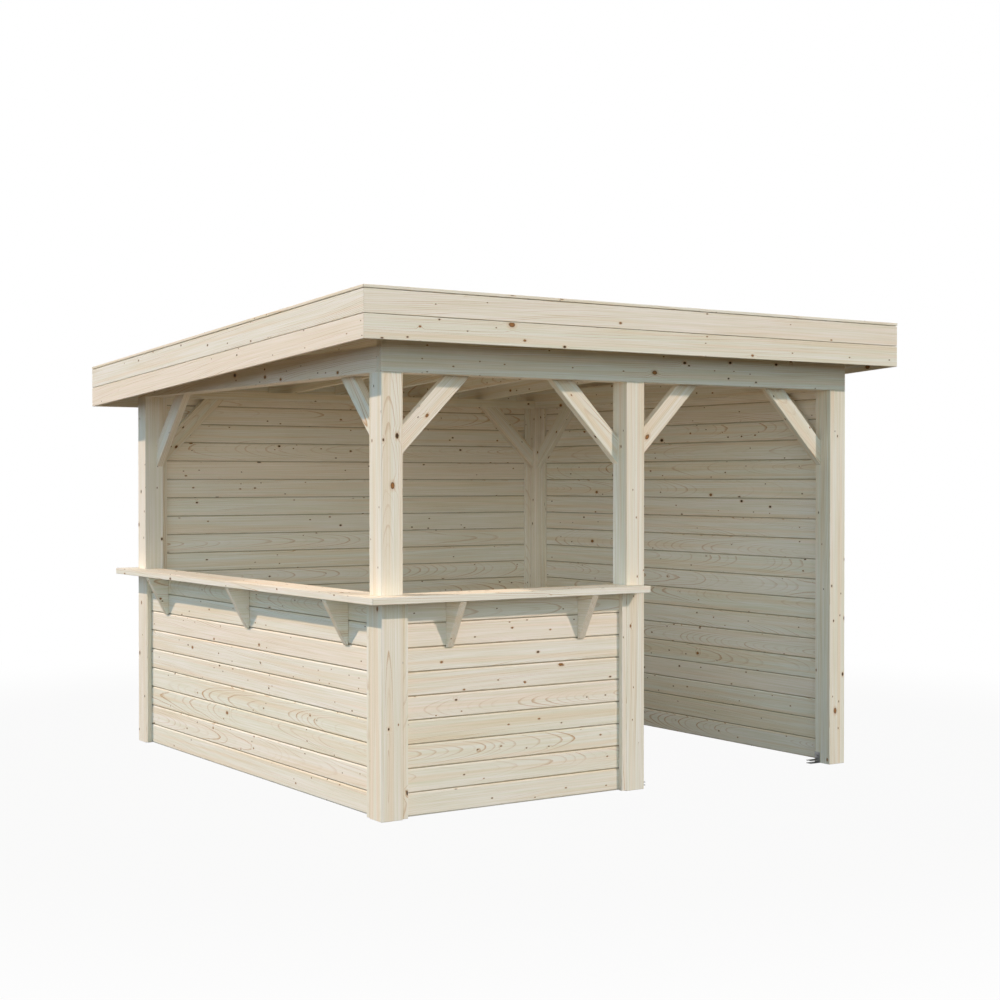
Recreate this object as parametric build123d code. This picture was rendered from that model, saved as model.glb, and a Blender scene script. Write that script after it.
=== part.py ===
from build123d import *
import os
from math import cos, radians, tan

# A timber market stall: an open post-and-beam frame under a single-pitch roof, boarded to the
# beams at the back and on the right, and boarded to a wrap-round counter on the left and in the
# left bay of the front. The right bay of the front is the way in.
# The frame stands on z = 0, centred on the roof in plan. The front looks along -Y.

# Posts and their grid, in mm
post_side = 120.0
bay_width = 1500.0
post_height = 2184.0

# Beams on the posts
side_beam_height = 128.0
back_plate_height = 54.2
front_plank_thickness = 48.0
eased_edge = 2.0

# Roof: slope, overhangs measured from the posts' outer faces to the fascia's outer face
roof_slope = 3.0
overhang_front = 207.0
overhang_side = 212.0
overhang_back = 247.0
deck_thickness = 19.0
rafter_width = 45.0
rafter_height = 133.0
rafter_count = 7
seat_depth = 3.0

# Fascia of two boards, with a cover board along the top
board_cover = 118.7
fascia_boards = 2
fascia_thickness = 19.0
cover_thickness = 15.5
cover_width = 60.0
cover_lap = 2.0

# Walls of horizontal boards between the posts, held by a batten on each side
board_thickness = 20.0
board_recess = 28.0
wall_floor_gap = 3.5
batten_width = 30.0
inner_batten_thickness = 18.0
inner_batten_width = 48.0

# Braces
brace_leg = 437.0
brace_width = 100.0
brace_thickness = 44.0
open_brace_inset = 76.0
batten_notch_gap = 1.0

# Counter and its brackets
counter_top = 1100.0
counter_thickness = 36.0
counter_overhang = 113.0
counter_depth = 210.0
counter_past_back_post = 96.0
counter_past_mid_post = 74.0
post_notch_gap = 1.0
bracket_height = 236.0
bracket_reach = 136.0
bracket_thickness = 40.0
bracket_tip = 10.0
bracket_from_post = 284.0

# Steel angles that hold the posts' feet
anchor_width = 40.0
anchor_height = 62.0
anchor_reach = 72.0
anchor_steel = 3.0
anchor_hole = 11.0
anchor_slot = 40.0
anchor_inset = 2.0

# Worked out from the sizes above
frame_side = 2 * bay_width + post_side
plan_shift = (overhang_front - overhang_back) / 2
x_left = -frame_side / 2
x_right = frame_side / 2
y_front = -frame_side / 2 + plan_shift
y_back = frame_side / 2 + plan_shift
x_mid = x_left + bay_width
roof_left = x_left - overhang_side
roof_right = x_right + overhang_side
roof_front = y_front - overhang_front
roof_back = y_back + overhang_back
fascia_height = fascia_boards * board_cover
side_beam_top = post_height + side_beam_height
wall_inner = board_recess + board_thickness
batten_inner = wall_inner + inner_batten_thickness
counter_under = counter_top - counter_thickness
slope_rise = tan(radians(roof_slope))
deck_drop = deck_thickness / cos(radians(roof_slope))
rafter_drop = rafter_height / cos(radians(roof_slope))
plate_run = y_back - post_side - roof_front
plate_top = post_height + back_plate_height
eave_top = plate_top + rafter_drop + deck_drop + slope_rise * plate_run
posts = {
    "front_left": (x_left, y_front),
    "front_mid": (x_mid, y_front),
    "front_right": (x_right - post_side, y_front),
    "back_left": (x_left, y_back - post_side),
    "back_right": (x_right - post_side, y_back - post_side),
}


def deck_top(y):
    """Height of the roof boards' upper face at y."""
    return eave_top - slope_rise * (y - roof_front)


def deck_under(y):
    return deck_top(y) - deck_drop


def rafter_under(y):
    return deck_under(y) - rafter_drop


def block(x, y, z):
    """A box from its spans along the three axes."""
    centre = ((x[0] + x[1]) / 2, (y[0] + y[1]) / 2, (z[0] + z[1]) / 2)
    return Pos(*centre) * Box(x[1] - x[0], y[1] - y[0], z[1] - z[0])


def prism(axis, outline, span):
    """An outline across the named axis, carried along that axis over a span."""
    place = {
        "x": lambda a, b: (span[0], a, b),
        "y": lambda a, b: (a, span[0], b),
        "z": lambda a, b: (a, b, span[0]),
    }[axis]
    direction = {"x": (1, 0, 0), "y": (0, 1, 0), "z": (0, 0, 1)}[axis]
    face = make_face(Polyline(*[place(a, b) for a, b in outline], close=True))
    return extrude(face, amount=span[1] - span[0], dir=direction)


def post(corner):
    x, y = corner
    solid = block((x, x + post_side), (y, y + post_side), (0, post_height))
    return chamfer(solid.edges().filter_by(Axis.Z), eased_edge)


def beam_left():
    x = (x_left, x_left + post_side)
    solid = block(x, (y_front + front_plank_thickness, y_back), (post_height, side_beam_top))
    return chamfer(solid.edges().filter_by(Axis.Y), eased_edge)


def beam_right():
    return mirror(beam_left(), about=Plane.YZ)


def beam_front():
    """The deep plank along the front, which carries the rafters' high ends."""
    y = (y_front, y_front + front_plank_thickness)
    top = rafter_under(y_front) + seat_depth
    return block((x_left, x_right), y, (post_height, top))


def beam_front_inner():
    y = (y_front + front_plank_thickness, y_front + post_side)
    x = (x_left + post_side, x_right - post_side)
    return block(x, y, (post_height, side_beam_top))


def beam_back():
    """The low plate along the back, which carries the rafters' low ends."""
    x = (x_left + post_side, x_right - post_side)
    return block(x, (y_back - post_side, y_back), (post_height, plate_top))


def rafter_outline():
    """Side view of an inner rafter, with a level seat at each beam."""
    start = roof_front + fascia_thickness
    end = roof_back - fascia_thickness
    front_seat = rafter_under(y_front) + seat_depth
    plank_back = y_front + front_plank_thickness
    plate_front = y_back - post_side
    return [
        (start, rafter_under(start)),
        (y_front, rafter_under(y_front)),
        (y_front, front_seat),
        (plank_back, front_seat),
        (plank_back, rafter_under(plank_back)),
        (plate_front, rafter_under(plate_front)),
        (y_back, plate_top),
        (y_back, rafter_under(y_back)),
        (end, rafter_under(end)),
        (end, deck_under(end)),
        (start, deck_under(start)),
    ]


def gable_rafter_outline():
    """Side view of an end rafter, tapered where it comes down on the side beam."""
    outline = rafter_outline()
    meeting = roof_front + (deck_under(roof_front) - rafter_drop - side_beam_top) / slope_rise
    return outline[:5] + [(meeting, side_beam_top), (y_back, side_beam_top)] + outline[7:]


def rafters():
    """Seven rafters, the end ones in line with the side beams' outer faces."""
    pitch = (frame_side - rafter_width) / (rafter_count - 1)
    solids = {}
    for number in range(rafter_count):
        at_end = number in (0, rafter_count - 1)
        outline = gable_rafter_outline() if at_end else rafter_outline()
        x = x_left + number * pitch
        solids[f"rafter_{number + 1}"] = prism("x", outline, (x, x + rafter_width))
    return solids


def sloped_band(low, high):
    """A wide slab that follows the roof's slope, from low to high above the deck's upper face."""
    front = roof_front - cover_lap
    back = roof_back + cover_lap
    outline = [
        (front, deck_top(front) + low),
        (back, deck_top(back) + low),
        (back, deck_top(back) + high),
        (front, deck_top(front) + high),
    ]
    return prism("x", outline, (roof_left - cover_lap, roof_right + cover_lap))


def roof_deck():
    x = (roof_left + fascia_thickness, roof_right - fascia_thickness)
    start = roof_front + fascia_thickness
    end = roof_back - fascia_thickness
    outline = [
        (start, deck_under(start)),
        (end, deck_under(end)),
        (end, deck_top(end)),
        (start, deck_top(start)),
    ]
    return prism("x", outline, x)


def mitred_strip(side, outset, width):
    """Plan of one side of a mitred rectangular ring that stands outset beyond the roof's edge."""
    left, right = roof_left - outset, roof_right + outset
    front, back = roof_front - outset, roof_back + outset
    inner_left, inner_right = left + width, right - width
    inner_front, inner_back = front + width, back - width
    return {
        "front": [(left, front), (right, front), (inner_right, inner_front), (inner_left, inner_front)],
        "back": [(left, back), (right, back), (inner_right, inner_back), (inner_left, inner_back)],
        "left": [(left, front), (left, back), (inner_left, inner_back), (inner_left, inner_front)],
        "right": [(right, front), (right, back), (inner_right, inner_back), (inner_right, inner_front)],
    }[side]


def fascia(side):
    """Two boards, one above the other: level along front and back, sloped along the sides."""
    if side in ("left", "right"):
        tall = (eave_top - 2 * fascia_height, eave_top)
        return prism("z", mitred_strip(side, 0, fascia_thickness), tall) & sloped_band(-fascia_height, 0)
    edge = roof_front if side == "front" else roof_back
    level = (deck_top(edge) - fascia_height, eave_top)
    strip = prism("z", mitred_strip(side, 0, fascia_thickness), level)
    return strip & sloped_band(-2 * fascia_height, 0)


def cover_board(side):
    """The thin board that lies on the deck's edge and covers the fascia's top."""
    tall = (eave_top - 2 * fascia_height, eave_top + fascia_height)
    strip = prism("z", mitred_strip(side, cover_lap, cover_width), tall)
    return strip & sloped_band(0, cover_thickness)


def wall(side):
    """A panel of horizontal boards, between two posts and clear of the floor."""
    high = (wall_floor_gap, post_height)
    low = (wall_floor_gap, counter_under)
    along_x = (x_left + post_side, x_right - post_side)
    along_y = (y_front + post_side, y_back - post_side)
    if side == "back":
        return block(along_x, (y_back - wall_inner, y_back - board_recess), high)
    if side == "right":
        return block((x_right - wall_inner, x_right - board_recess), along_y, high)
    if side == "left":
        return block((x_left + board_recess, x_left + wall_inner), along_y, low)
    return block((x_left + post_side, x_mid), (y_front + board_recess, y_front + wall_inner), low)


def battens(side):
    """Four upright battens: a stout one outside and a flat one inside at each end of a panel."""
    top = counter_under if side in ("left", "front") else post_height
    z = (wall_floor_gap, top)
    kinds = ((0, board_recess, batten_width), (wall_inner, batten_inner, inner_batten_width))
    solids = []
    for near, far, width in kinds:
        if side in ("front", "back"):
            start = x_left + post_side
            end = x_mid if side == "front" else x_right - post_side
            y = (y_front + near, y_front + far) if side == "front" else (y_back - far, y_back - near)
            solids.append(block((start, start + width), y, z))
            solids.append(block((end - width, end), y, z))
        else:
            start = y_front + post_side
            end = y_back - post_side
            x = (x_left + near, x_left + far) if side == "left" else (x_right - far, x_right - near)
            solids.append(block(x, (start, start + width), z))
            solids.append(block(x, (end - width, end), z))
    return solids


def batten_set(side):
    """The panel's battens, with the inner ones cut away where a wall brace crosses them."""
    solids = battens(side)
    if side in ("back", "right"):
        cutters = braces(side, batten_notch_gap)
        for cutter in cutters:
            solids = [piece for solid in solids for piece in (solid - cutter).solids()]
    return Compound(children=solids)


def brace_outline(corner, way, gap=0.0):
    """A 45 degree brace in the angle of a post and a beam; way is +1 or -1 from the post."""
    spread = gap * 2 ** 0.5
    low = post_height - brace_leg - spread
    cut = brace_width * 2 ** 0.5 + 2 * spread
    return [
        (corner, low),
        (corner, low + cut),
        (corner + way * (post_height - low - cut), post_height),
        (corner + way * (post_height - low), post_height),
    ]


def braces(side, gap=0.0):
    """Braces in the open bays stand inside the boards' plane; wall braces lie on the boards."""
    open_depth = (open_brace_inset - gap, open_brace_inset + brace_thickness + gap)
    wall_depth = (wall_inner, wall_inner + brace_thickness + gap)
    if side == "front":
        y = (y_front + open_depth[0], y_front + open_depth[1])
        ends = (
            (x_left + post_side, 1),
            (x_mid, -1),
            (x_mid + post_side, 1),
            (x_right - post_side, -1),
        )
        return [prism("y", brace_outline(x, way, gap), y) for x, way in ends]
    if side == "back":
        y = (y_back - wall_depth[1], y_back - wall_depth[0])
        ends = ((x_left + post_side, 1), (x_right - post_side, -1))
        return [prism("y", brace_outline(x, way, gap), y) for x, way in ends]
    if side == "left":
        x = (x_left + open_depth[0], x_left + open_depth[1])
        ends = ((y_front + post_side, 1), (y_back - post_side, -1))
        return [prism("x", brace_outline(y, way, gap), x) for y, way in ends]
    x = (x_right - wall_depth[1], x_right - wall_depth[0])
    ends = ((y_front + post_side, 1), (y_back - post_side, -1))
    return [prism("x", brace_outline(y, way, gap), x) for y, way in ends]


def counter_outline(side):
    """Plan of one leg of the counter, mitred at the corner."""
    outer_x, inner_x = x_left - counter_overhang, x_left - counter_overhang + counter_depth
    outer_y, inner_y = y_front - counter_overhang, y_front - counter_overhang + counter_depth
    if side == "left":
        end = y_back + counter_past_back_post
        return [(outer_x, outer_y), (inner_x, inner_y), (inner_x, end), (outer_x, end)]
    end = x_mid + counter_past_mid_post
    return [(outer_x, outer_y), (end, outer_y), (end, inner_y), (inner_x, inner_y)]


def counter(side):
    """One leg of the counter, cut out round the posts that it passes."""
    solid = prism("z", counter_outline(side), (counter_under, counter_top))
    for x, y in posts.values():
        gap = post_notch_gap
        solid -= block(
            (x - gap, x + post_side + gap), (y - gap, y + post_side + gap), (counter_under, counter_top)
        )
    return solid


def bracket_outline(wall_face, way):
    """Side view of a counter bracket: upright against the wall, level on top, blunt at the foot."""
    return [
        (wall_face, counter_under),
        (wall_face, counter_under - bracket_height),
        (wall_face + way * bracket_tip, counter_under - bracket_height),
        (wall_face + way * bracket_reach, counter_under),
    ]


def brackets(side):
    solids = []
    if side == "front":
        for middle in (x_left + post_side + bracket_from_post, x_mid - bracket_from_post):
            x = (middle - bracket_thickness / 2, middle + bracket_thickness / 2)
            solids.append(prism("x", bracket_outline(y_front + board_recess, -1), x))
    else:
        first = y_front + post_side + bracket_from_post
        last = y_back - post_side - bracket_from_post
        for middle in (first, (first + last) / 2, last):
            y = (middle - bracket_thickness / 2, middle + bracket_thickness / 2)
            solids.append(prism("y", bracket_outline(x_left + board_recess, -1), y))
    return Compound(children=solids)


def anchor(face, y, way):
    """A steel angle against a post's side face: drilled upright, slotted foot on the ground."""
    reach = (face, face + way * anchor_reach)
    steel = (face, face + way * anchor_steel)
    foot = block((min(reach), max(reach)), y, (0, anchor_steel))
    upright = block((min(steel), max(steel)), y, (0, anchor_height))
    middle = (y[0] + y[1]) / 2
    drill = Rot(0, 90, 0) * Cylinder(anchor_hole / 2, 4 * anchor_steel)
    hole = Pos(face, middle, anchor_height * 0.6) * drill
    slot = extrude(SlotOverall(anchor_slot, anchor_hole), amount=anchor_height, both=True)
    slot = Pos(face + way * anchor_reach * 0.6, middle, 0) * slot
    return (foot + upright) - hole - slot


def anchors():
    """One angle for each post, inside the boards, on the side that faces the bay."""
    inside = open_brace_inset + anchor_inset
    front_y = (y_front + inside, y_front + inside + anchor_width)
    back_y = (y_back - inside - anchor_width, y_back - inside)
    solids = [
        anchor(x_left + post_side, front_y, 1),
        anchor(x_mid + post_side, front_y, 1),
        anchor(x_right - post_side, front_y, -1),
        anchor(x_left + post_side, back_y, 1),
        anchor(x_right - post_side, back_y, -1),
    ]
    return Compound(children=solids)


nodes = {f"post_{name}": post(corner) for name, corner in posts.items()}
nodes["beam_front"] = beam_front()
nodes["beam_front_inner"] = beam_front_inner()
nodes["beam_back"] = beam_back()
nodes["beam_left"] = beam_left()
nodes["beam_right"] = beam_right()
nodes.update(rafters())
nodes["roof_deck"] = roof_deck()
for side in ("front", "back", "left", "right"):
    nodes[f"fascia_{side}"] = fascia(side)
    nodes[f"cover_board_{side}"] = cover_board(side)
    nodes[f"battens_{side}"] = batten_set(side)
    nodes[f"braces_{side}"] = Compound(children=braces(side))
nodes["low_wall_front"] = wall("front")
nodes["low_wall_left"] = wall("left")
nodes["back_wall"] = wall("back")
nodes["right_wall"] = wall("right")
for side in ("front", "left"):
    nodes[f"counter_{side}"] = counter(side)
    nodes[f"brackets_{side}"] = brackets(side)
nodes["post_anchors"] = anchors()

os.makedirs("parts", exist_ok=True)
for name, solid in nodes.items():
    export_step(solid, f"parts/{name}.step")
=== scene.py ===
import random
from math import radians

import bmesh
import bpy
from mathutils import Matrix, Vector


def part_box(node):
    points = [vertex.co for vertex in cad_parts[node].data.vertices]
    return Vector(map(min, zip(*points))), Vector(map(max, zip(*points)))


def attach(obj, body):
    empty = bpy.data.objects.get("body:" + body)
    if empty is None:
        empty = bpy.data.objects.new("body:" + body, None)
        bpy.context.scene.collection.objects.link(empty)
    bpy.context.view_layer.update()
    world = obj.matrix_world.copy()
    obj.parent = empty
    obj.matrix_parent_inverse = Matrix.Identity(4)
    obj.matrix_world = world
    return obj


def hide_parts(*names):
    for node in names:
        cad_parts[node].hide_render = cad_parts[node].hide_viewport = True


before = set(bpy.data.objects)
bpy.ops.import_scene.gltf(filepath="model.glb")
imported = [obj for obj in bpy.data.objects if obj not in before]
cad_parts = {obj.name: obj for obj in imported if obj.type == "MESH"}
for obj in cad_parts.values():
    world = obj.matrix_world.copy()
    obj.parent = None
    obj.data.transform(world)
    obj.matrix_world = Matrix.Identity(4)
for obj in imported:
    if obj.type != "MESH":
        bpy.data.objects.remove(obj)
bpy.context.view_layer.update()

# Lengths are in metres, and colours are linear, unless a comment says otherwise. A rarity is the
# power that a random number is raised to, so that great ones are rarer.

# Camera: place, turns in degrees, lens and sensor in millimetres
camera_place = (-5.5926, -8.6480, 1.6578)
camera_turn = 33.743
camera_drop = 0.664
camera_lens = 60.49
sensor_width = 36.0

# Suns: direction towards each, strength, angle it fills in the sky in degrees, colour
back_lamp = ((-1.0, 0.83, 1.10), 2.62, 1.3, (1.0, 0.80, 0.65))
front_lamp = ((0.54, -1.0, 0.70), 1.65, 1.6, (1.0, 0.82, 0.73))

# Soft lamp inside the stall, for the light thrown back into it: place, power, radius, colour
inner_lamp = ((-0.38, -0.62, 1.30), 9.6, 0.30, (1.0, 0.89, 0.73))

# Sky: it fades out between two heights, blue light comes from the left, and a glow comes from
# low behind the camera. Heights and sides are parts of a direction whose length is 1.
sky_colour = (0.71, 0.90, 0.97)
sky_height = (0.28, 0.85)
left_sky_colour = (0.02, 0.12, 0.30)
left_sky_side = (0.15, 0.95)
glow_towards = (-0.62, -0.79, 0.0)
glow_side = (0.80, 1.0)
glow_height = 0.34
glow_strength = 2.3
glow_colour = (0.88, 0.95, 0.88)

# Floor: seen directly, it is white by a share near the stall, and all white from the second of
# two distances on
floor_radius = 40.0
floor_sides = 96
floor_colour = (0.09, 0.07, 0.035)
floor_white = 0.95
white_from = (3.4, 6.5)

# Boards and their V joints
roof_slope = radians(3.0)
board_cover = 0.1187
board_shift = 0.0003
joint_gap = 0.0035
upper_chamfer = 0.0075
lower_chamfer = 0.004
sole_chamfer = 0.007
chamfer_depth = 0.006
tongue_width = 0.0052
tongue_length = 0.006
groove_clearance = 0.0008

# Eased edges, and the slot and joint of each fascia
arris = 0.003
fascia_chamfer = 0.002
cover_slot = 0.003
fascia_gap = 0.003
arris_segments = 2
sharp_angle = radians(50)

# Anchors: the screw's height is a share of the anchor's, and the washer and the screw's head are
# given as radius, depth and number of sides
anchor_steel = 0.003
fork_height = 0.016
fork_root = 0.016
fork_slot = 0.011
screw_height = 0.6
washer = (0.012, 0.0015, 32)
screw_head = (0.0075, 0.0065, 6)
stud_taper = 0.94

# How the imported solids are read
weld_distance = 0.00001
flat_angle = radians(0.5)
side_facing = 0.1
sort_digits = 4

# Wood colours, as 0-255 sRGB
pale_wood = (246, 242, 231)
warm_wood = (243, 228, 206)
late_wood = (196, 152, 100)
end_wood = (206, 180, 144)
live_knot = (158, 108, 58)
dead_knot = (60, 42, 18)
knot_rim = (110, 76, 38)
knot_halo = (206, 166, 114)

# Noise drawn out along the grain: how fine it is along and across, per metre, and its detail. The
# seed's spread gives each timber a part of the noise of its own.
bend_grain = (0.9, 0.5, 2.0)
patch_grain = (1.6, 9.0, 2.0)
ragged_grain = (14.0, 60.0, 2.0)
broad_grain = (0.5, 26.0, 3.0)
streak_grain = (2.2, 150.0, 3.0)
fibre_grain = (14.0, 700.0, 2.0)
seed_spread = (37.0, 41.0, 43.0)

# Where the log's pith lies from the middle of a timber
beside_least = 0.08
beside_spread = 0.10
under_spread = 0.05
pith_depth = 0.105
pith_depth_least = 0.012
sway_across = 0.025
sway_through = 0.05
lean_least = 0.03
lean_spread = 0.08

# Growth rings: a ring's late wood darkens and ends at shares of the ring's width, some rings are
# fainter than others, and so are whole patches
late_rise = (0.68, 0.93)
late_fall = (0.94, 1.0)
ring_rarity = 1.6
ring_spread = 19.0
ring_raggedness = 0.0013
patch_fade = (0.35, 0.65)
patch_least = 0.2

# Tone of the wood, where 1 leaves its colour as it is
warm_patches = (0.40, 0.66)
warm_patch_most = 0.9
warm_timber_rarity = 2.5
tone_least = 0.77
timber_tone_spread = 0.10
streak_depth = 0.32
fibre_depth = 0.08
end_darkening = 0.2

# Knots: cells per metre across and along the grain, share with a live heart, and shift of the
# rings beside them. Reaches count from a knot's middle in its own radii. The noise that crowds
# the knots together has a scale per cell and a detail, and moves their chance between shares.
large_cells = (5.2, 3.4)
small_cells = (12.0, 6.5)
large_live_share = 0.65
small_live_share = 0.50
live_blend = 0.05
large_swirl = 0.010
small_swirl = 0.004
swirl_reach = (0.4, 5.0)
heart_reach = (0.45, 0.95)
knot_reach = (0.90, 1.20)
halo_reach = (1.0, 2.4)
halo_strength = 0.40
dip_reach = (0.8, 1.1)
large_rarity = 2.0
cell_spread = (71.0, 53.0)
crowd_noise = (0.23, 1.0)
crowd_fade = (0.38, 0.62)
crowd_chance = (0.25, 1.75)
wobble_scale = 160.0
wobble_depth = 0.44
least_reach = 0.0001

# The skin of a timber unwrapped: how far opposite faces are kept from its middle
edge_apart = 0.4
face_apart = 0.9

# Painted shade in the joints: depths from a board's middle plane between which it ends, tone, and
# the powers that take more of the green and the blue
painted_shade_depth = (0.0024, 0.0052)
painted_shade_tone = 0.42
painted_shade_green = 1.15
painted_shade_blue = 1.4

# Surface of the wood: late wood is a little smoother, and a bump has a strength and a distance
wood_roughness = 0.66
late_gloss = -0.10
wood_specular = 0.3
late_height = 0.00012
fibre_height = 0.00010
knot_dip = -0.0002
wood_bump = (0.5, 1.0)

# Galvanised steel: colours are 0-255 sRGB and scales are per metre, and the dull noise is given
# as a scale and a detail
zinc_dark = (132, 134, 136)
zinc_light = (158, 160, 162)
zinc_dull = (112, 110, 106)
spangle_scale = 260.0
dull_noise = (70.0, 3.0)
dull_fade = (0.4, 0.7)
dull_most = 0.5
zinc_roughness = 0.32
dull_roughness = 0.3
zinc_metallic = 0.85
dull_height = 0.0002
zinc_bump = (0.3, 0.001)

upright = Vector((0, 0, 1))
materials = {}


class Graph:
    """Adds nodes to a material or the world; a value is a number, a colour or a node's output."""

    def __init__(self, owner):
        owner.use_nodes = True
        self.tree = owner.node_tree
        self.tree.nodes.clear()

    def feed(self, socket, value):
        if isinstance(value, bpy.types.NodeSocket):
            self.tree.links.new(value, socket)
        else:
            socket.default_value = value

    def add(self, kind, inputs=None, **settings):
        node = self.tree.nodes.new("ShaderNode" + kind)
        for key, value in settings.items():
            setattr(node, key, value)
        for key, value in (inputs or {}).items():
            self.feed(node.inputs[key], value)
        return node

    def math(self, operation, *values):
        inputs = dict(enumerate(values))
        return self.add("Math", inputs, operation=operation).outputs[0]

    def vector(self, operation, *values):
        inputs = dict(enumerate(values))
        return self.add("VectorMath", inputs, operation=operation).outputs[0]

    def length(self, vector):
        return self.add("VectorMath", {0: vector}, operation="LENGTH").outputs["Value"]

    def fade(self, value, low, high, start=0.0, end=1.0):
        """Maps low..high to start..end smoothly, and holds the ends."""
        inputs = {"Value": value, 1: low, 2: high, 3: start, 4: end}
        return self.add("MapRange", inputs, interpolation_type="SMOOTHSTEP").outputs[0]

    def split(self, vector):
        return self.add("SeparateXYZ", {0: vector}).outputs

    def join(self, x, y, z):
        return self.add("CombineXYZ", {0: x, 1: y, 2: z}).outputs[0]

    def mix(self, factor, first, second, blend="MIX"):
        node = self.add("Mix", data_type="RGBA", blend_type=blend)
        self.feed(node.inputs[0], factor)
        self.feed(node.inputs[6], first)
        self.feed(node.inputs[7], second)
        return node.outputs[2]

    def noise(self, vector, scale, detail=2.0, result="Fac"):
        inputs = {"Vector": vector, "Scale": scale, "Detail": detail}
        return self.add("TexNoise", inputs).outputs[result]

    def surface(self, colour, roughness, height, bump):
        strength, distance = bump
        inputs = {"Height": height, "Strength": strength, "Distance": distance}
        normal = self.add("Bump", inputs).outputs[0]
        inputs = {"Base Color": colour, "Roughness": roughness, "Normal": normal}
        return self.add("BsdfPrincipled", inputs)

    def finish(self, shader, output="OutputMaterial"):
        self.add(output, {"Surface": shader.outputs[0]})


class TimberGraph(Graph):
    """A graph that reads what Piece.add notes on a timber's points and faces."""

    def __init__(self, owner):
        super().__init__(owner)
        self.grain = self.attribute("grain")
        self.seed = self.attribute("seed")
        self.skin = self.attribute("skin")
        self.end_grain = self.split(self.skin)[2]
        self.own_place = self.vector("MULTIPLY_ADD", self.seed, seed_spread, self.grain)

    def attribute(self, name):
        return self.add("Attribute", attribute_name=name).outputs["Vector"]

    def grain_noise(self, along, across, detail, result="Fac"):
        place = self.vector("MULTIPLY", self.own_place, (along, across, across))
        return self.noise(place, 1.0, detail, result)


def srgb(red, green, blue):
    """A colour written as 0-255 sRGB, for a node socket."""
    def linear(channel):
        value = channel / 255
        return value / 12.92 if value <= 0.04045 else ((value + 0.055) / 1.055) ** 2.4
    return (linear(red), linear(green), linear(blue), 1.0)


def knots(graph, cells_per_metre, chance, least, greatest):
    """Distance from the nearest knot, counted in that knot's radii, and the knot's random tone."""
    across, along = cells_per_metre
    x, y, _ = graph.split(graph.skin)
    sx, sy, _ = graph.split(graph.seed)
    cell = graph.join(
        graph.math("MULTIPLY_ADD", x, along, graph.math("MULTIPLY", sx, cell_spread[0])),
        graph.math("MULTIPLY_ADD", y, across, graph.math("MULTIPLY", sy, cell_spread[1])),
        0.0,
    )
    rare, common = (share * chance for share in crowd_chance)
    crowd = graph.fade(graph.noise(cell, *crowd_noise), *crowd_fade, rare, common)
    cells = graph.add("TexVoronoi", {"Vector": cell, "Scale": 1.0}, voronoi_dimensions="2D")
    pick, size, tone = graph.split(cells.outputs["Color"])
    present = graph.math("LESS_THAN", pick, crowd)
    radius = graph.math("POWER", size, large_rarity)
    radius = graph.math("MULTIPLY_ADD", radius, greatest - least, least)
    reach = graph.math("MULTIPLY", graph.math("MULTIPLY", radius, across), present)
    wobble = graph.noise(graph.skin, wobble_scale)
    wobble = graph.math("MULTIPLY_ADD", wobble, wobble_depth, 1.0 - wobble_depth / 2)
    distance = graph.math("MULTIPLY", cells.outputs["Distance"], wobble)
    return graph.math("DIVIDE", distance, graph.math("MAXIMUM", reach, least_reach)), tone


def pith(graph, straight):
    """Where the log's pith lies across and through the timber.

    It lies beside the timbers with straight grain and under the others, wanders a little, and
    leans along the timber, so that the rings come out as lines or as long arches.
    """
    along = graph.split(graph.grain)[0]
    sx, sy, sz = graph.split(graph.seed)
    bend = graph.grain_noise(*bend_grain, "Color")
    bend_across, bend_through, _ = graph.split(bend)
    bend_across = graph.math("SUBTRACT", bend_across, 0.5)
    bend_through = graph.math("SUBTRACT", bend_through, 0.5)
    turn = graph.math("SUBTRACT", sz, 0.5)
    side = graph.math("SIGN", turn)

    beside = graph.math("MULTIPLY_ADD", sy, beside_spread, beside_least)
    beside = graph.math("MULTIPLY", beside, side)
    under = graph.math("MULTIPLY_ADD", sy, under_spread, -under_spread / 2)
    flat_sawn = graph.math("GREATER_THAN", sx, straight)
    across = graph.math("MULTIPLY_ADD", graph.math("SUBTRACT", under, beside), flat_sawn, beside)
    across = graph.math("MULTIPLY_ADD", bend_across, sway_across, across)

    lean = graph.math("MULTIPLY_ADD", side, lean_least, graph.math("MULTIPLY", turn, lean_spread))
    through = graph.math("MULTIPLY_ADD", along, lean, pith_depth)
    through = graph.math("MULTIPLY_ADD", bend_through, sway_through, through)
    return across, graph.math("MAXIMUM", through, pith_depth_least)


def growth_rings(graph, swirl, ring_width, straight):
    """Late wood, 0 to 1, where the timber's faces cut the log's rings, which swirl round knots."""
    _, v, w = graph.split(graph.grain)
    across, through = pith(graph, straight)
    from_pith = graph.join(graph.math("SUBTRACT", v, across), graph.math("ADD", w, through), 0.0)
    radius = graph.math("ADD", graph.length(from_pith), swirl)
    ragged = graph.grain_noise(*ragged_grain)
    radius = graph.math("MULTIPLY_ADD", ragged, ring_raggedness, radius)
    rings = graph.math("DIVIDE", radius, ring_width)
    phase = graph.math("FRACT", rings)
    late = graph.fade(phase, *late_rise)
    late = graph.math("MULTIPLY", late, graph.fade(phase, *late_fall, 1.0, 0.0))

    own = graph.math("MULTIPLY", graph.split(graph.seed)[0], ring_spread)
    ring_seed = graph.join(graph.math("FLOOR", rings), own, 0.0)
    strong = graph.add("TexWhiteNoise", {"Vector": ring_seed}).outputs["Value"]
    strong = graph.math("POWER", strong, ring_rarity)
    patches = graph.fade(graph.grain_noise(*patch_grain), *patch_fade, patch_least, 1.0)
    return graph.math("MULTIPLY", graph.math("MULTIPLY", late, strong), patches)


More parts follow.
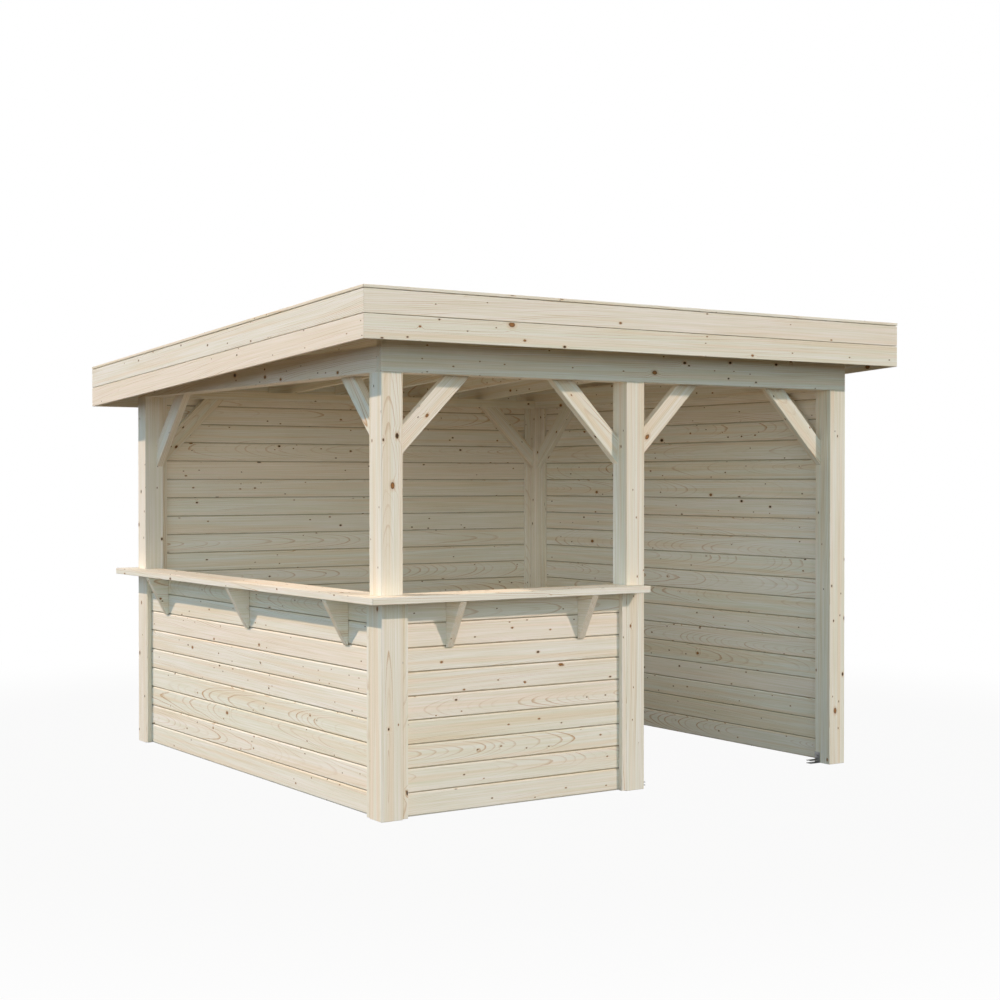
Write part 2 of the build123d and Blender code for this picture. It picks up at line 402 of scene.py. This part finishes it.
def wood_colour(graph, late, fibre, line_strength):
    """Pale wood with warm patches, darker rings, and streaks and fibres that shade it."""
    timber_tone = graph.add("TexWhiteNoise", {"Vector": graph.seed}).outputs
    warmth = graph.split(timber_tone["Color"])[0]
    warmth = graph.math("POWER", warmth, warm_timber_rarity)
    broad = graph.grain_noise(*broad_grain)
    warm_patch = graph.fade(broad, *warm_patches, 0.0, warm_patch_most)
    warmth = graph.math("MAXIMUM", warmth, warm_patch)
    colour = graph.mix(warmth, srgb(*pale_wood), srgb(*warm_wood))
    late = graph.math("MULTIPLY", late, line_strength)
    colour = graph.mix(late, colour, srgb(*late_wood))

    streak = graph.grain_noise(*streak_grain)
    tone = graph.math("MULTIPLY_ADD", timber_tone["Value"], timber_tone_spread, tone_least)
    tone = graph.math("MULTIPLY_ADD", streak, streak_depth, tone)
    fibre_tone = graph.math("MULTIPLY_ADD", fibre, fibre_depth, 1.0 - fibre_depth / 2)
    tone = graph.math("MULTIPLY", tone, fibre_tone)
    shade = graph.join(tone, tone, graph.math("MULTIPLY", tone, tone))
    return graph.mix(1.0, colour, shade, "MULTIPLY")


def with_knots(graph, colour, distance, tone, live_share):
    """Paints knots with a brown or nearly black heart, a rim and a halo over the wood."""
    dead = graph.fade(tone, live_share - live_blend, live_share + live_blend)
    heart = graph.mix(dead, srgb(*live_knot), srgb(*dead_knot))
    knot = graph.mix(graph.fade(distance, *heart_reach), heart, srgb(*knot_rim))
    halo = graph.fade(distance, *halo_reach, halo_strength, 0.0)
    colour = graph.mix(halo, colour, srgb(*knot_halo))
    return graph.mix(graph.fade(distance, *knot_reach, 1.0, 0.0), colour, knot)


def with_painted_joint_shade(graph, colour):
    """Paints shade into the bottom of the joints between boards, darkest deepest in."""
    inward = graph.math("ABSOLUTE", graph.split(graph.grain)[2])
    painted_shade = graph.fade(inward, *painted_shade_depth, painted_shade_tone, 1.0)
    painted_shade = graph.math("MAXIMUM", painted_shade, graph.end_grain)
    green = graph.math("POWER", painted_shade, painted_shade_green)
    blue = graph.math("POWER", painted_shade, painted_shade_blue)
    return graph.mix(1.0, colour, graph.join(painted_shade, green, blue), "MULTIPLY")


def timber(name, ring_width, straight, line_strength, large_knots, small_knots, joints=False):
    """Planed spruce: growth rings cut by the timber's faces, fibres, and knots that rings go round.

    A share straight of the timbers has straight grain, and boards' joints get painted shade.
    Each size of knot is given as its chance and its least and greatest radius.
    """
    material = bpy.data.materials.new(name)
    graph = TimberGraph(material)
    large, large_tone = knots(graph, large_cells, *large_knots)
    small, small_tone = knots(graph, small_cells, *small_knots)
    swirl = graph.math(
        "ADD",
        graph.fade(large, *swirl_reach, large_swirl, 0.0),
        graph.fade(small, *swirl_reach, small_swirl, 0.0),
    )
    late = growth_rings(graph, swirl, ring_width, straight)
    fibre = graph.grain_noise(*fibre_grain)

    colour = wood_colour(graph, late, fibre, line_strength)
    colour = with_knots(graph, colour, small, small_tone, small_live_share)
    colour = with_knots(graph, colour, large, large_tone, large_live_share)
    end = graph.math("MULTIPLY", graph.end_grain, end_darkening)
    colour = graph.mix(end, colour, srgb(*end_wood))
    # Painted shade darkens the bottom of the joints between boards
    if joints:
        colour = with_painted_joint_shade(graph, colour)

    roughness = graph.math("MULTIPLY_ADD", late, late_gloss, wood_roughness)
    height = graph.math("MULTIPLY", fibre, fibre_height)
    height = graph.math("MULTIPLY_ADD", late, late_height, height)
    height = graph.math("ADD", height, graph.fade(large, *dip_reach, knot_dip, 0.0))
    shader = graph.surface(colour, roughness, height, wood_bump)
    shader.inputs["Specular IOR Level"].default_value = wood_specular
    graph.finish(shader)
    return material


def steel(name):
    """Hot-dip galvanised steel: grey with faint spangle and scuffs."""
    material = bpy.data.materials.new(name)
    graph = Graph(material)
    place = graph.add("TexCoord").outputs["Object"]
    spangle = graph.add("TexVoronoi", {"Vector": place, "Scale": spangle_scale})
    spangle = graph.split(spangle.outputs["Color"])[0]
    dull = graph.noise(place, *dull_noise)
    colour = graph.mix(spangle, srgb(*zinc_dark), srgb(*zinc_light))
    colour = graph.mix(graph.fade(dull, *dull_fade, 0.0, dull_most), colour, srgb(*zinc_dull))
    roughness = graph.math("MULTIPLY_ADD", dull, dull_roughness, zinc_roughness)
    height = graph.math("MULTIPLY", dull, dull_height)
    shader = graph.surface(colour, roughness, height, zinc_bump)
    shader.inputs["Metallic"].default_value = zinc_metallic
    graph.finish(shader)
    return material


def put(name, data):
    """Makes an object of a mesh, lamp or camera, and puts it in the scene."""
    holder = bpy.data.objects.new(name, data)
    bpy.context.scene.collection.objects.link(holder)
    return holder


def rank(solid):
    """Where a solid lies, so that solids come in the same order each run."""
    points, _ = solid
    return tuple(round(c, sort_digits) for c in sum(points, Vector()))


def cad_solids(node):
    """The node's solids, each as points and flat faces, with the triangles merged."""
    whole = bmesh.new()
    whole.from_mesh(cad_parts[node].data)
    bmesh.ops.remove_doubles(whole, verts=whole.verts, dist=weld_distance)
    bmesh.ops.dissolve_limit(whole, angle_limit=flat_angle, verts=whole.verts, edges=whole.edges)
    waiting = set(whole.verts)
    solids = []
    while waiting:
        found = {waiting.pop()}
        edge = list(found)
        while edge:
            near = {e.other_vert(v) for v in edge for e in v.link_edges} - found
            found |= near
            edge = list(near)
        waiting -= found
        points = sorted(found, key=lambda v: v.index)
        number = {v: i for i, v in enumerate(points)}
        faces = [[number[v] for v in face.verts] for face in whole.faces if face.verts[0] in found]
        solids.append(([v.co.copy() for v in points], faces))
    whole.free()
    return sorted(solids, key=rank)


def solid_mesh(points, faces):
    mesh = bmesh.new()
    verts = [mesh.verts.new(p) for p in points]
    for face in faces:
        mesh.faces.new([verts[i] for i in face])
    mesh.normal_update()
    return mesh


def longest_edge(mesh):
    """The direction of the longest edge; among equals, of the one that starts furthest right."""
    def length_first(edge):
        return round(edge.calc_length(), sort_digits), round(edge.verts[0].co.x, sort_digits)
    edge = max(mesh.edges, key=length_first)
    return (edge.verts[1].co - edge.verts[0].co).normalized()


def grain_frame(mesh, along):
    """Directions along the grain, across the widest face, and through the timber."""
    def breadth(face):
        return face.calc_area() if abs(face.normal.dot(along)) < side_facing else 0.0
    through = max(mesh.faces, key=breadth).normal.copy()
    through = (through - along * through.dot(along)).normalized()
    return along, through.cross(along), through


def ease(mesh, width):
    """Takes the sharp edges off a solid."""
    joined = [edge for edge in mesh.edges if len(edge.link_faces) == 2]
    sharp = [edge for edge in joined if edge.calc_face_angle() > sharp_angle]
    bmesh.ops.bevel(
        mesh,
        geom=sharp,
        offset=width,
        segments=arris_segments,
        profile=0.5,
        affect="EDGES",
        clamp_overlap=True,
    )


def unwrapped(place, facing):
    """Where a face's point lies on the timber's unwrapped skin, and 1 on end grain or else 0.

    Opposite faces are kept apart, so that each shows its own knots.
    """
    u, v, w = place
    side = max(range(3), key=lambda axis: abs(facing[axis]))
    if side == 0:
        return (u + v, w, 1.0)
    if side == 1:
        return (u, w + edge_apart * facing.y, 0.0)
    return (u, v + face_apart * facing.z, 0.0)


class Piece:
    """One mesh made of whole timbers, each with its own place in the log it was sawn from."""

    def __init__(self, name):
        self.name = name
        self.random = random.Random(name)
        self.mesh = bpy.data.meshes.new(name)
        self.whole = bmesh.new()

    def add(self, mesh, axes):
        """Notes on every point how it lies in its timber, then adds the timber to the piece."""
        grain = mesh.verts.layers.float_vector.new("grain")
        seed = mesh.verts.layers.float_vector.new("seed")
        skin = mesh.loops.layers.float_vector.new("skin")
        own = Vector((self.random.random(), self.random.random(), self.random.random()))
        turn = Matrix(axes)
        local = [turn @ v.co for v in mesh.verts]
        middle = (Vector(map(min, *local)) + Vector(map(max, *local))) / 2
        mesh.normal_update()
        for vert, place in zip(mesh.verts, local):
            vert[grain] = place - middle
            vert[seed] = own
        for face in mesh.faces:
            facing = turn @ face.normal
            for loop in face.loops:
                loop[skin] = unwrapped(turn @ loop.vert.co - middle, facing)
        part = bpy.data.meshes.new("part")
        mesh.to_mesh(part)
        mesh.free()
        self.whole.from_mesh(part)
        bpy.data.meshes.remove(part)

    def place(self, material, slot, *nodes):
        """Puts the piece in the scene, in the place of the nodes it stands for."""
        self.whole.to_mesh(self.mesh)
        self.whole.free()
        piece = put(self.name, self.mesh)
        self.mesh.materials.append(materials[material])
        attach(piece, "root")
        if nodes:
            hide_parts(*nodes)


def whole_timbers(node, material, slot, along=None):
    """The node's solids with eased edges and their own grain."""
    piece = Piece(f"{node}_timber")
    for points, faces in cad_solids(node):
        mesh = solid_mesh(points, faces)
        axes = grain_frame(mesh, Vector(along) if along else longest_edge(mesh))
        ease(mesh, arris)
        piece.add(mesh, axes)
    piece.place(material, slot, node)


def board_outline(width, thickness, ripped, chamfer=lower_chamfer):
    """Section of a tongued and grooved board with V joints on both faces, as (up, out) points.

    A ripped board ends in a sawn edge, and the chamfer is the one along its lower edge.
    """
    half = thickness / 2
    bottom = joint_gap / 2
    top = width if ripped else width - joint_gap / 2
    groove = tongue_width / 2 + groove_clearance
    depth = tongue_length + groove_clearance
    right = [
        (bottom + depth, groove),
        (bottom, groove),
        (bottom, half - chamfer_depth),
        (bottom + chamfer, half),
    ]
    if ripped:
        right += [(top, half)]
    else:
        right += [
            (top - upper_chamfer, half),
            (top, half - chamfer_depth),
            (top, tongue_width / 2),
            (top + tongue_length, tongue_width / 2),
        ]
    left = [(up, -out) for up, out in reversed(right)]
    return right + left


def board(outline, length, axes, corner):
    """A board from its section, carried along its length from a corner."""
    along, across, through = axes
    points = []
    for reach in (0.0, length):
        for up, out in outline:
            points.append(corner + along * reach + across * up + through * out)
    count = len(outline)
    faces = [[i, (i + 1) % count, (i + 1) % count + count, i + count] for i in range(count)]
    faces.append(list(range(count))[::-1])
    faces.append(list(range(count, 2 * count)))
    mesh = solid_mesh(points, faces)
    bmesh.ops.recalc_face_normals(mesh, faces=mesh.faces)
    return mesh


def board_wall(node):
    """A wall of boards, set out from the floor, with the top one ripped to fit."""
    low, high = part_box(node)
    size = high - low
    along = Vector((1, 0, 0)) if size.x > size.y else Vector((0, 1, 0))
    through = upright.cross(along)
    axes = (along, upright, through)
    middle = (low + high) / 2
    length = size.dot(along)
    thickness = abs(size.dot(through)) - 2 * board_shift
    piece = Piece(f"{node}_boards")
    bottom = low.z
    while bottom < high.z - joint_gap:
        width = min(board_cover, high.z - bottom)
        ripped = bottom + board_cover > high.z - joint_gap
        chamfer = lower_chamfer if bottom > low.z else sole_chamfer
        outline = board_outline(width, thickness, ripped, chamfer)
        shift = through * piece.random.uniform(-board_shift, board_shift)
        corner = Vector((middle.x, middle.y, bottom)) - along * length / 2 + shift
        piece.add(board(outline, length, axes, corner), axes)
        bottom += board_cover
    piece.place("boards", "wall_boards", node)


def board_deck(node):
    """The roof's boards, side by side down the slope."""
    low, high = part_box(node)
    size = high - low
    along = Vector((1, 0, 0))
    down = Matrix.Rotation(-roof_slope, 3, "X") @ Vector((0, 1, 0))
    through = along.cross(down)
    axes = (along, down, through)
    run = size.y / down.y
    thickness = (size.z - run * abs(down.z)) * down.y
    middle = Vector((low.x, low.y, high.z)) + through * -thickness / 2
    piece = Piece(f"{node}_boards")
    start = 0.0
    while start < run - joint_gap:
        width = min(board_cover, run - start)
        ripped = start + board_cover > run - joint_gap
        outline = board_outline(width, thickness, ripped)
        piece.add(board(outline, size.x, axes, middle + down * start), axes)
        start += board_cover
    piece.place("boards", "roof_boards", node)


def cut_off(mesh, place, towards):
    """Cuts a solid by a plane, and drops what lies on the side that towards points to."""
    cut = bmesh.ops.bisect_plane(
        mesh,
        geom=mesh.verts[:] + mesh.edges[:] + mesh.faces[:],
        plane_co=place,
        plane_no=towards,
        clear_outer=True,
    )
    rim = [g for g in cut["geom_cut"] if isinstance(g, bmesh.types.BMEdge)]
    bmesh.ops.edgeloop_fill(mesh, edges=rim)
    bmesh.ops.recalc_face_normals(mesh, faces=mesh.faces)


def fascia(side):
    """Two boards, one above the other, sawn from the fascia's solid."""
    node = f"fascia_{side}"
    piece = Piece(f"{node}_boards")
    above = Matrix.Rotation(-roof_slope, 3, "X") @ upright
    below = -above
    deck_low, deck_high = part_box("roof_deck")
    edge = Vector((0, deck_low.y, deck_high.z))
    joint = edge - upright * board_cover
    top = edge - upright * cover_slot
    half_gap = above * fascia_gap / 2
    upper_board = ((joint + half_gap, below), (top, above))
    lower_board = ((joint - half_gap, above),)
    for points, faces in cad_solids(node):
        for cuts in (upper_board, lower_board):
            mesh = solid_mesh(points, faces)
            for place, towards in cuts:
                cut_off(mesh, place, towards)
            axes = grain_frame(mesh, longest_edge(mesh))
            ease(mesh, fascia_chamfer)
            piece.add(mesh, axes)
    piece.place("fascia", "fascia_boards", node)


def stud(place, outward, radius, depth, sides):
    """A washer or screw head that stands out from a face."""
    mesh = bmesh.new()
    turn = outward.to_track_quat("Z", "Y").to_matrix().to_4x4()
    bmesh.ops.create_cone(
        mesh,
        cap_ends=True,
        segments=sides,
        radius1=radius,
        radius2=radius * stud_taper,
        depth=depth,
        matrix=Matrix.Translation(place + outward * depth / 2) @ turn,
    )
    return mesh


def anchor_fittings():
    """A forked flange above each anchor's foot, and the screw that holds the anchor to its post."""
    piece = Piece("anchor_fittings")
    for points, _ in cad_solids("post_anchors"):
        low = Vector(map(min, *points))
        high = Vector(map(max, *points))
        tops = [p.x for p in points if p.z > high.z - weld_distance]
        way = 1 if sum(tops) / len(tops) < (low.x + high.x) / 2 else -1
        outward = Vector((way, 0, 0))
        across = upright.cross(outward)
        face = max(tops) if way > 0 else min(tops)
        plate = Vector((face, (low.y + high.y) / 2, 0))
        axes = (outward, across, upright)

        reach = abs(high.x - low.x) - anchor_steel
        half = (high.y - low.y) / 2
        prong = fork_slot / 2
        near_prong = [(0, -half), (reach, -half), (reach, -prong), (fork_root, -prong)]
        far_prong = [(fork_root, prong), (reach, prong), (reach, half), (0, half)]
        foot = plate + upright * fork_height
        fork = board(near_prong + far_prong, anchor_steel, (upright, outward, across), foot)
        piece.add(fork, axes)

        screw = plate + upright * high.z * screw_height
        for radius, depth, sides in (washer, screw_head):
            piece.add(stud(screw, outward, radius, depth, sides), axes)
    piece.place("steel", "steel")


def sun(name, towards, strength, angle, colour):
    light = bpy.data.lights.new(name, "SUN")
    light.energy = strength
    light.angle = radians(angle)
    light.color = colour
    holder = put(name, light)
    holder.rotation_euler = Vector(towards).to_track_quat("Z", "Y").to_euler()


def soft_lamp(name, place, power, radius, colour):
    """A lamp that lights the stall, and that neither the camera nor a mirror shows."""
    light = bpy.data.lights.new(name, "POINT")
    light.energy = power
    light.shadow_soft_size = radius
    light.color = colour
    holder = put(name, light)
    holder.location = place
    holder.visible_camera = False
    holder.visible_glossy = False


def seen_directly(graph):
    """1 for rays that see the backdrop directly, in a mirror or through glass, and else 0."""
    rays = graph.add("LightPath").outputs
    seen = graph.math("MAXIMUM", rays["Is Camera Ray"], rays["Is Glossy Ray"])
    return graph.math("MAXIMUM", seen, rays["Is Transmission Ray"])


def sky():
    """A backdrop that is seen as white, and throws soft light from above, the left and the glow."""
    world = bpy.data.worlds.new("studio")
    bpy.context.scene.world = world
    graph = Graph(world)
    direction = graph.add("TexCoord").outputs["Generated"]
    x, _, z = graph.split(direction)
    above = graph.math("GREATER_THAN", z, 0.0)
    overhead = graph.math("MULTIPLY", graph.fade(z, *sky_height, 1.0, 0.0), above)
    leftward = graph.fade(graph.math("MULTIPLY", x, -1.0), *left_sky_side)
    dot = graph.add("VectorMath", {0: direction, 1: glow_towards}, operation="DOT_PRODUCT")
    glow = graph.fade(z, 0.0, glow_height, glow_strength, 0.0)
    glow = graph.math("MULTIPLY", glow, graph.fade(dot.outputs["Value"], *glow_side))
    glow = graph.math("MULTIPLY", glow, above)

    parts = []
    colours = (sky_colour, left_sky_colour, glow_colour)
    for colour, strength in zip(colours, (overhead, leftward, glow)):
        parts.append(graph.add("Background", {"Color": (*colour, 1.0), "Strength": strength}))
    light, *others = parts
    for part in others:
        light = graph.add("AddShader", {0: light.outputs[0], 1: part.outputs[0]})
    backdrop = graph.add("Background", {"Color": (1.0, 1.0, 1.0, 1.0), "Strength": 1.0})
    inputs = {0: seen_directly(graph), 1: light.outputs[0], 2: backdrop.outputs[0]}
    graph.finish(graph.add("MixShader", inputs), "OutputWorld")


def floor():
    """A pale floor that meets the white backdrop, and keeps a soft shadow."""
    mesh = bpy.data.meshes.new("floor")
    rim = bmesh.new()
    bmesh.ops.create_circle(rim, cap_ends=True, radius=floor_radius, segments=floor_sides)
    rim.to_mesh(mesh)
    rim.free()
    plane = put("floor", mesh)
    material = bpy.data.materials.new("pale_floor")
    graph = Graph(material)
    matt = graph.add("BsdfDiffuse", {"Color": (*floor_colour, 1.0)})
    white = graph.add("Emission", {"Color": (1.0, 1.0, 1.0, 1.0), "Strength": 1.0})
    reach = graph.length(graph.add("TexCoord").outputs["Object"])
    whiteness = graph.fade(reach, *white_from, floor_white, 1.0)
    whiteness = graph.math("MULTIPLY", seen_directly(graph), whiteness)
    inputs = {0: whiteness, 1: matt.outputs[0], 2: white.outputs[0]}
    graph.finish(graph.add("MixShader", inputs))
    mesh.materials.append(material)


def camera():
    lens = bpy.data.cameras.new("camera")
    lens.lens = camera_lens
    lens.sensor_width = sensor_width
    holder = put("camera", lens)
    holder.location = camera_place
    holder.rotation_euler = (radians(90 - camera_drop), 0, radians(-camera_turn))
    bpy.context.scene.camera = holder


camera()
sky()
sun("back_lamp", *back_lamp)
sun("front_lamp", *front_lamp)
soft_lamp("inner_lamp", *inner_lamp)
floor()

materials["boards"] = timber(
    "boards",
    ring_width=0.0050,
    straight=0.45,
    line_strength=1.0,
    large_knots=(0.20, 0.0045, 0.0100),
    small_knots=(0.30, 0.0022, 0.0040),
    joints=True,
)
materials["framing"] = timber(
    "framing",
    ring_width=0.0075,
    straight=0.75,
    line_strength=1.1,
    large_knots=(0.50, 0.0042, 0.0105),
    small_knots=(0.30, 0.0022, 0.0040),
)
materials["fascia"] = timber(
    "fascia",
    ring_width=0.0060,
    straight=0.75,
    line_strength=1.2,
    large_knots=(0.30, 0.0042, 0.0120),
    small_knots=(0.25, 0.0022, 0.0040),
)
materials["steel"] = steel("galvanised_steel")

for node in ("low_wall_front", "low_wall_left", "back_wall", "right_wall"):
    board_wall(node)
board_deck("roof_deck")
for side in ("front", "back", "left", "right"):
    fascia(side)
    whole_timbers(f"cover_board_{side}", "fascia", "fascia_boards")
    whole_timbers(f"battens_{side}", "framing", "battens", along=(0, 0, 1))
    whole_timbers(f"braces_{side}", "framing", "beams")
for corner in ("front_left", "front_mid", "front_right", "back_left", "back_right"):
    whole_timbers(f"post_{corner}", "framing", "posts")
for beam in ("front", "front_inner", "back", "left", "right"):
    whole_timbers(f"beam_{beam}", "framing", "beams")
for number in range(1, 8):
    whole_timbers(f"rafter_{number}", "framing", "rafters")
for side in ("front", "left"):
    whole_timbers(f"counter_{side}", "framing", "counter")
whole_timbers("brackets_front", "framing", "counter", along=(0, 1, 0))
whole_timbers("brackets_left", "framing", "counter", along=(1, 0, 0))
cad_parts["post_anchors"].data.materials.clear()
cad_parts["post_anchors"].data.materials.append(materials["steel"])
anchor_fittings()

bpy.context.scene.view_settings.view_transform = "Standard"
